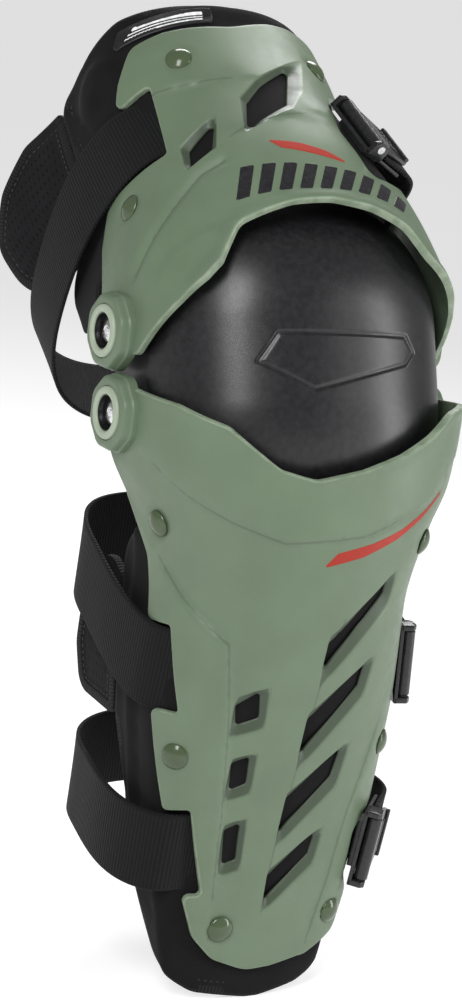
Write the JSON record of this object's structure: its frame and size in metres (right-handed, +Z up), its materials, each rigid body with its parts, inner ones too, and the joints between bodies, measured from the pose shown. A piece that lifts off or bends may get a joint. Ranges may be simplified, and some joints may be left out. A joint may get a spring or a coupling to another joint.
{
  "type": "knee and shin guard",
  "caption": "Hard-shell knee and shin guard: a jointed thigh plate, knee cup and vented shin plate over soft liners, with strap buckles.",
  "frame": {"origin": "midway between the two pivot lines, on the leg's centre line", "axes": "+Z up along the shin from ankle to knee, -Y to the front of the leg, +X to the right as seen from the front"},
  "size_m": [0.1824, 0.2369, 0.4643],
  "materials": {
    "shell_green": "satin moulded sage green",
    "cup_black": "satin, finely grained",
    "neoprene_black": "knit faced neoprene, bound and stitched edges",
    "webbing_black": "ribbed elastic webbing",
    "foam_dark": "knit faced foam",
    "rivet_olive": "gloss domed heads",
    "washer_steel": "plain",
    "nylon_black": "plain",
    "pin_steel": "plain",
    "ring_green": "satin pale green",
    "badge_silver": "brushed",
    "patch_black": "printed with plain stripes",
    "buckle_black": "moulded"
  },
  "bodies": {
    "shin": {"shin_shell": "shell_green", "shin_liner": "neoprene_black", "shin_pad": "foam_dark", "calf_wing_left": "neoprene_black", "calf_wing_right": "neoprene_black", "calf_strap": "webbing_black", "ankle_strap": "webbing_black", "shin_rivets": "rivet_olive", "shin_rivet_washers": "washer_steel", "lower_pivot_pins": "pin_steel", "lower_pivot_rings": "ring_green", "lower_pivot_badges": "badge_silver", "calf_buckle_base": "buckle_black", "calf_buckle_pin": "pin_steel", "ankle_buckle_base": "buckle_black", "ankle_buckle_pin": "pin_steel"},
    "knee_cup": {"knee_cup": "cup_black", "knee_pad": "foam_dark", "knee_cup_bushes": "nylon_black", "lower_pivot_washers": "nylon_black", "upper_pivot_washers": "nylon_black"},
    "thigh": {"thigh_shell": "shell_green", "thigh_liner": "neoprene_black", "thigh_pad": "foam_dark", "thigh_wing_left": "neoprene_black", "thigh_wing_right": "neoprene_black", "thigh_strap": "webbing_black", "thigh_rivets": "rivet_olive", "thigh_rivet_washers": "washer_steel", "thigh_label_patch": "patch_black", "upper_pivot_pins": "pin_steel", "upper_pivot_rings": "ring_green", "upper_pivot_badges": "badge_silver", "thigh_buckle_base": "buckle_black", "thigh_buckle_pin": "pin_steel"},
    "thigh_buckle_lever": {"thigh_buckle_lever": "buckle_black"},
    "calf_buckle_lever": {"calf_buckle_lever": "buckle_black"},
    "ankle_buckle_lever": {"ankle_buckle_lever": "buckle_black"}
  },
  "joints": [
    {"name": "lower_pivot", "type": "hinge", "parent": "shin", "child": "knee_cup", "pos_m": [0, -0.0065, -0.018], "axis": [-1, 0, 0], "range_deg": [-22, 8]},
    {"name": "upper_pivot", "type": "hinge", "parent": "knee_cup", "child": "thigh", "pos_m": [0, 0.0065, 0.018], "axis": [-1, 0, 0], "range_deg": [-28, 8]},
    {"name": "thigh_lever_hinge", "type": "hinge", "parent": "thigh", "child": "thigh_buckle_lever", "pos_m": [0.03353, 0.00343, 0.12247], "axis": [0.0777, -0.8773, -0.4737], "range_deg": [0, 70]},
    {"name": "calf_lever_hinge", "type": "hinge", "parent": "shin", "child": "calf_buckle_lever", "pos_m": [0.0692, -0.04751, -0.13072], "axis": [0.0446, -0.0133, -0.9989], "range_deg": [0, 70]},
    {"name": "ankle_lever_hinge", "type": "hinge", "parent": "shin", "child": "ankle_buckle_lever", "pos_m": [0.05773, -0.05613, -0.22362], "axis": [-0.077, 0.0694, -0.9946], "range_deg": [0, 70]}
  ]
}
